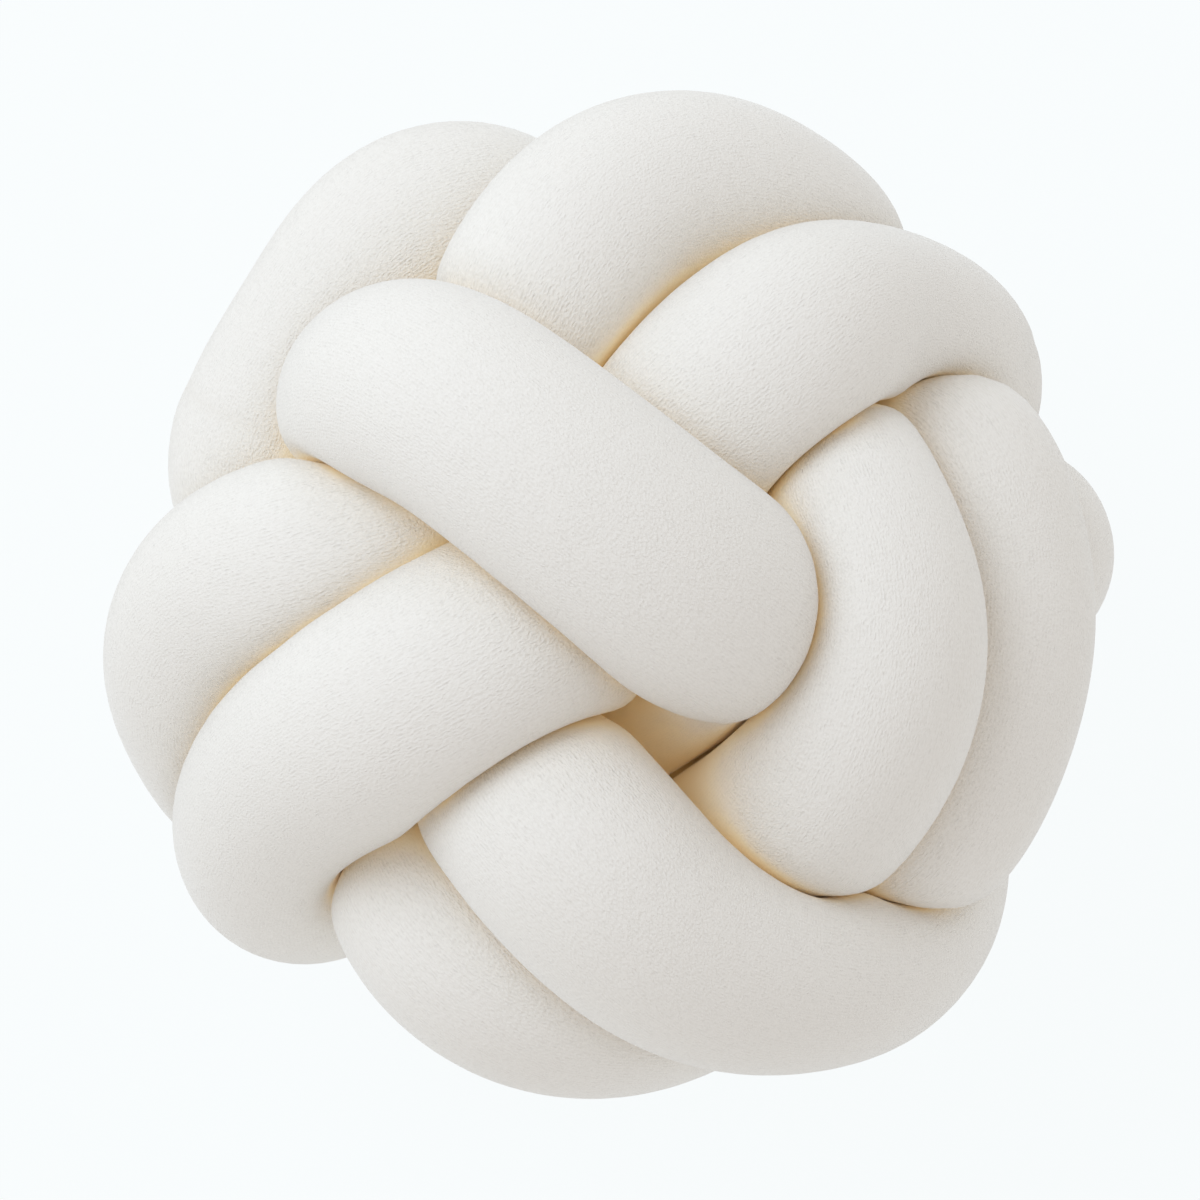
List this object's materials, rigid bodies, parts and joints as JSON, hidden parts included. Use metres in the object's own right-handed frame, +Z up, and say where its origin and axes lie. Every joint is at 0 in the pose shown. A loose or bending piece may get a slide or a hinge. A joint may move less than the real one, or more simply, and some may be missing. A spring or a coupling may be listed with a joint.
{
  "type": "knot cushion",
  "caption": "Ball-shaped cushion: a thick stuffed jersey tube, closed into a ring and knotted over and under itself.",
  "frame": {"origin": "on the floor, under the middle of the ball", "axes": "+Z up, out of the face of the knot; +Y to the top of the face as the picture shows it; +X to its right"},
  "size_m": [0.3026, 0.2924, 0.2607],
  "materials": {
    "jersey": "matt cotton jersey, off-white"
  },
  "bodies": {
    "root": {"tube": "jersey"}
  },
  "joints": []
}
